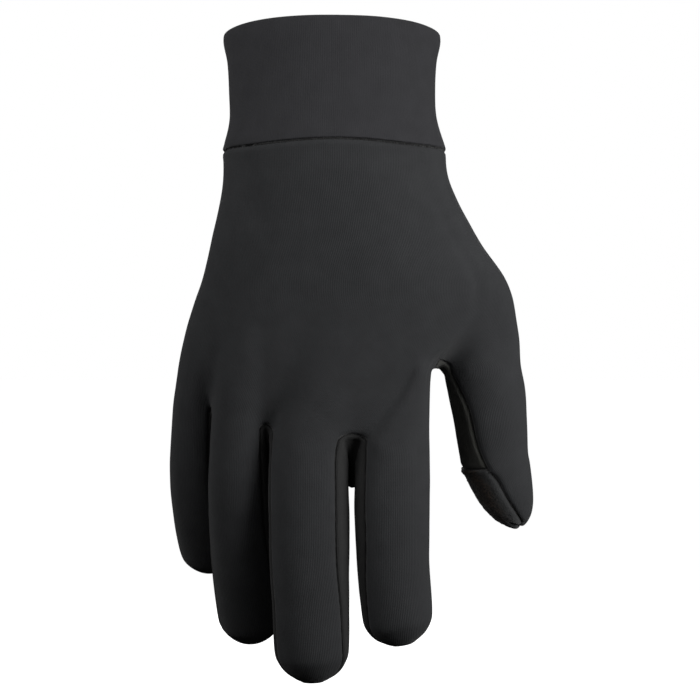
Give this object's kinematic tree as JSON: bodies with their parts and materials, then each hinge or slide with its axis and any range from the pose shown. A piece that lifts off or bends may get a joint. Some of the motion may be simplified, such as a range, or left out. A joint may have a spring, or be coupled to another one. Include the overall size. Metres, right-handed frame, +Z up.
{
  "type": "knit liner glove, right hand",
  "caption": "Thin close-fitting knit liner glove for a right hand, with a doubled folded cuff, side strips between the fingers and a grip patch on the thumb's tip.",
  "frame": {"origin": "centre of the cuff's mouth, where a wrist goes in", "axes": "+Z up out of the cuff's mouth, with the fingers pointing down; the back of the hand faces -Y; the thumb is on the +X side"},
  "size_m": [0.1296, 0.0808, 0.2324],
  "materials": {
    "body_knit": "fine black stretch knit, matt with a soft sheen",
    "cuff_knit": "the same knit, doubled",
    "palm_knit": "the same knit on the palm side",
    "strip_knit": "the same knit, on the strips between the fingers and inside the thumb",
    "grip_pile": "brown-black short-pile grip cloth, quite matt"
  },
  "bodies": {
    "root": {"cuff": "cuff_knit", "back_panel": "body_knit", "palm_panel": "palm_knit", "fourchette_ring_little": "strip_knit", "fourchette_middle_ring": "strip_knit", "fourchette_index_middle": "strip_knit", "thumb_inner_panel": "strip_knit", "thumb_tip_patch": "grip_pile"}
  },
  "joints": []
}
